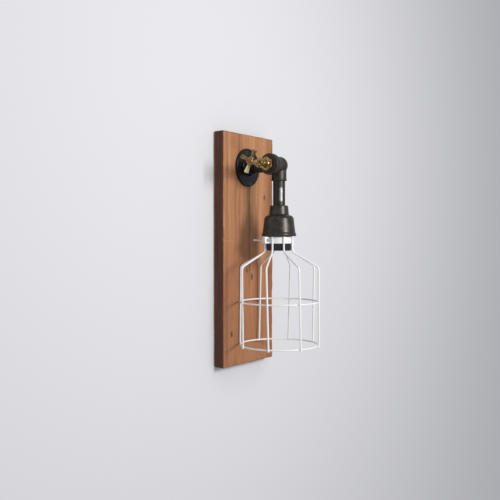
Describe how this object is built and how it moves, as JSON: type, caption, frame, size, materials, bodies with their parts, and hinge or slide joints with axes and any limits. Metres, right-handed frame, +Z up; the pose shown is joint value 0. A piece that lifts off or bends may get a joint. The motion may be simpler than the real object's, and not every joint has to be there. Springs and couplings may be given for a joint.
{
  "type": "cage wall light",
  "caption": "Wall light on a stained plank: pipe arm with a brass tap, bell reducer, lampholder and open wire cage.",
  "frame": {"origin": "centre of the plank's back face, which lies against the wall", "axes": "+X to the right seen from the front, +Y into the wall, +Z up along the plank"},
  "size_m": [0.1752, 0.1618, 0.415],
  "materials": {
    "stained_wood": "brown stained, worn reclaimed pine",
    "black_iron": "black oxide, soft sheen",
    "black_pipe": "black steel pipe, soft sheen, rubbed patches",
    "bell_iron": "black malleable iron, soft sheen",
    "polished_brass": "polished",
    "handle_brass": "polished, handled",
    "cap_screw_brass": "reddish, aged",
    "white_wire": "white powder coat",
    "white_band": "white powder coat",
    "zinc_steel": "zinc plated",
    "zinc_nut": "zinc plated",
    "dark_screw": "blackened",
    "black_holder": "black phenolic, satin",
    "white_ceramic": "glazed",
    "shell_brass": "bright, pressed",
    "copper_alloy": "spring bronze",
    "carrier_steel": "plain, turned",
    "fibre_seal": "red fibre",
    "black_rubber": "black rubber",
    "white_packing": "waxed packing",
    "brown_sleeve": "brown insulation",
    "blue_sleeve": "blue insulation",
    "green_sleeve": "green and yellow insulation",
    "block_plastic": "off-white moulded"
  },
  "bodies": {
    "fixture": {"plank": "stained_wood", "hanger_left": "zinc_steel", "hanger_right": "zinc_steel", "hanger_screws": "zinc_nut", "floor_flange": "black_iron", "flange_screws": "dark_screw", "arm_nipple": "black_pipe", "corner_fitting": "black_iron", "drop_nipple": "black_pipe", "bell_reducer": "bell_iron", "tap_seal": "fibre_seal", "tap_bonnet": "polished_brass", "gland_packing": "white_packing", "gland_nut": "polished_brass", "holder_carrier": "carrier_steel", "entry_tube": "zinc_steel", "lock_nut": "zinc_nut", "holder_cap": "black_holder", "holder_skirt": "black_holder", "holder_insulator": "white_ceramic", "thread_shell": "shell_brass", "centre_contact": "copper_alloy", "terminal_screws": "shell_brass", "live_lead": "brown_sleeve", "neutral_lead": "blue_sleeve", "earth_lead": "green_sleeve", "earth_tag": "copper_alloy", "earth_screw": "zinc_nut", "terminal_block": "block_plastic", "block_screws": "zinc_nut", "cage_hoop_middle": "white_wire", "cage_hoop_bottom": "white_wire", "clamp_collar": "white_band", "clamp_screw": "zinc_steel", "clamp_nut": "zinc_nut", "cage_wire_1": "white_wire", "cage_wire_2": "white_wire", "cage_wire_3": "white_wire", "cage_wire_4": "white_wire", "cage_wire_5": "white_wire", "cage_wire_6": "white_wire", "cage_wire_7": "white_wire", "cage_wire_8": "white_wire"},
    "tap_valve": {"tap_jumper": "polished_brass", "tap_washer": "black_rubber"},
    "tap_handle": {"tap_spindle": "polished_brass", "cross_handle": "handle_brass", "handle_screw": "cap_screw_brass"}
  },
  "joints": [
    {"name": "valve_lift", "type": "slide", "parent": "fixture", "child": "tap_valve", "axis": [-1, 0, 0], "range_m": [0, 0.005]},
    {"name": "tap_turn", "type": "hinge", "parent": "tap_valve", "child": "tap_handle", "pos_m": [-0.0575, -0.09185, 0.1473], "axis": [-1, 0, 0], "range_deg": [0, 720]}
  ],
  "couplings": [
    {"joint": "tap_turn", "follows": "valve_lift", "rad_per_m": 2513.2}
  ]
}
